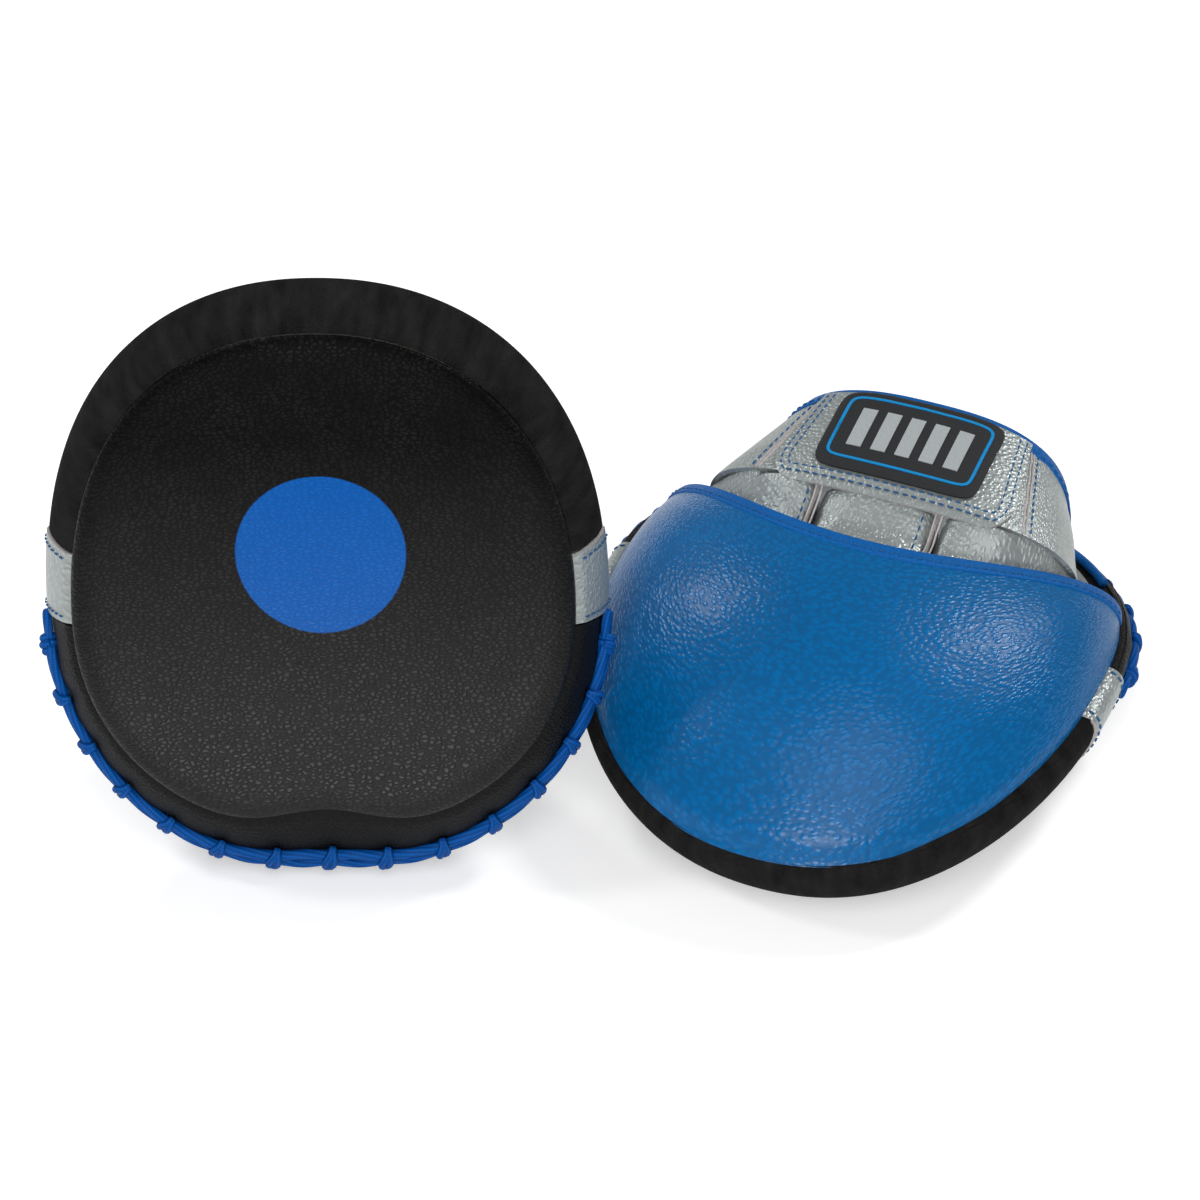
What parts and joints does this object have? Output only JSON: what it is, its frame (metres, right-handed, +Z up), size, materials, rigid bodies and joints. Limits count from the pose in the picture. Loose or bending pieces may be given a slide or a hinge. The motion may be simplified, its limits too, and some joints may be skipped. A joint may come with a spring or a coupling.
{
  "type": "pair of focus mitts",
  "caption": "Pair of curved leather focus mitts with padded striking faces, finger hoods, gloved backs and a laced wrist roll.",
  "frame": {"origin": "on the floor, under the middle of the pair's box", "axes": "+X runs from the standing mitt to the lying one, +Y away from the viewer, +Z up"},
  "size_m": [0.4084, 0.2262, 0.212],
  "materials": {
    "face_leather": "pebbled satin",
    "rim_leather": "smooth satin",
    "suede": "matt suede",
    "hood_leather": "fine grain satin",
    "silver_leather": "pearlised satin",
    "tape": "woven tape",
    "lace": "braided cord",
    "foam": "closed-cell foam, hidden inside",
    "board": "hidden inside",
    "badge_rubber": "moulded matt",
    "badge_line": "moulded matt"
  },
  "bodies": {
    "right_pad": {"right_face_panel": "face_leather", "right_impact_foam": "foam", "right_core_foam": "foam", "right_backing_board": "board", "right_back_panel": "suede", "right_finger_rim": "suede", "right_wrist_rim": "rim_leather", "right_thumb_patch": "silver_leather", "right_outer_patch": "silver_leather", "right_lace": "lace", "right_palm_panel": "silver_leather", "right_palm_binding": "tape", "right_index_stall": "silver_leather", "right_middle_stall": "silver_leather", "right_little_stall": "silver_leather"},
    "right_hood": {"right_finger_hood": "hood_leather", "right_hood_lining": "foam", "right_hood_binding": "tape"},
    "right_glove": {"right_backhand_panel": "silver_leather", "right_backhand_padding": "foam", "right_thumb_side_panel": "silver_leather", "right_outer_side_panel": "silver_leather", "right_cuff_binding": "tape", "right_badge": "badge_rubber", "right_badge_outline": "badge_line"},
    "left_pad": {"left_face_panel": "face_leather", "left_impact_foam": "foam", "left_core_foam": "foam", "left_backing_board": "board", "left_back_panel": "suede", "left_finger_rim": "suede", "left_wrist_rim": "rim_leather", "left_thumb_patch": "silver_leather", "left_outer_patch": "silver_leather", "left_lace": "lace", "left_palm_panel": "silver_leather", "left_palm_binding": "tape", "left_index_stall": "silver_leather", "left_middle_stall": "silver_leather", "left_little_stall": "silver_leather"},
    "left_hood": {"left_finger_hood": "hood_leather", "left_hood_lining": "foam", "left_hood_binding": "tape"},
    "left_glove": {"left_backhand_panel": "silver_leather", "left_backhand_padding": "foam", "left_thumb_side_panel": "silver_leather", "left_outer_side_panel": "silver_leather", "left_cuff_binding": "tape", "left_badge": "badge_rubber", "left_badge_outline": "badge_line"}
  },
  "joints": [
    {"name": "right_hood_lift", "type": "hinge", "parent": "right_pad", "child": "right_hood", "pos_m": [0.05228, -0.10311, 0.02888], "axis": [0.9272, -0.3746, 0], "range_deg": [0, 6], "stiffness_Nm_per_rad": 0.4, "springref_deg": -8.59},
    {"name": "right_glove_lift", "type": "hinge", "parent": "right_pad", "child": "right_glove", "pos_m": [0.10636, 0.03074, 0.08325], "axis": [0.9272, -0.3746, 0], "range_deg": [0, 8], "stiffness_Nm_per_rad": 0.4, "springref_deg": -8.59},
    {"name": "left_hood_lift", "type": "hinge", "parent": "left_pad", "child": "left_hood", "pos_m": [-0.09751, -0.00452, 0.20765], "axis": [1, 0, 0], "range_deg": [0, 6], "stiffness_Nm_per_rad": 0.4, "springref_deg": -8.59},
    {"name": "left_glove_lift", "type": "hinge", "parent": "left_pad", "child": "left_glove", "pos_m": [-0.09751, 0.00234, 0.05355], "axis": [1, 0, 0], "range_deg": [0, 8], "stiffness_Nm_per_rad": 0.4, "springref_deg": -8.59},
    {"name": "mitts_apart", "type": "slide", "parent": "right_pad", "child": "left_pad", "axis": [-1, 0, 0], "range_m": [0, 0.15]}
  ]
}
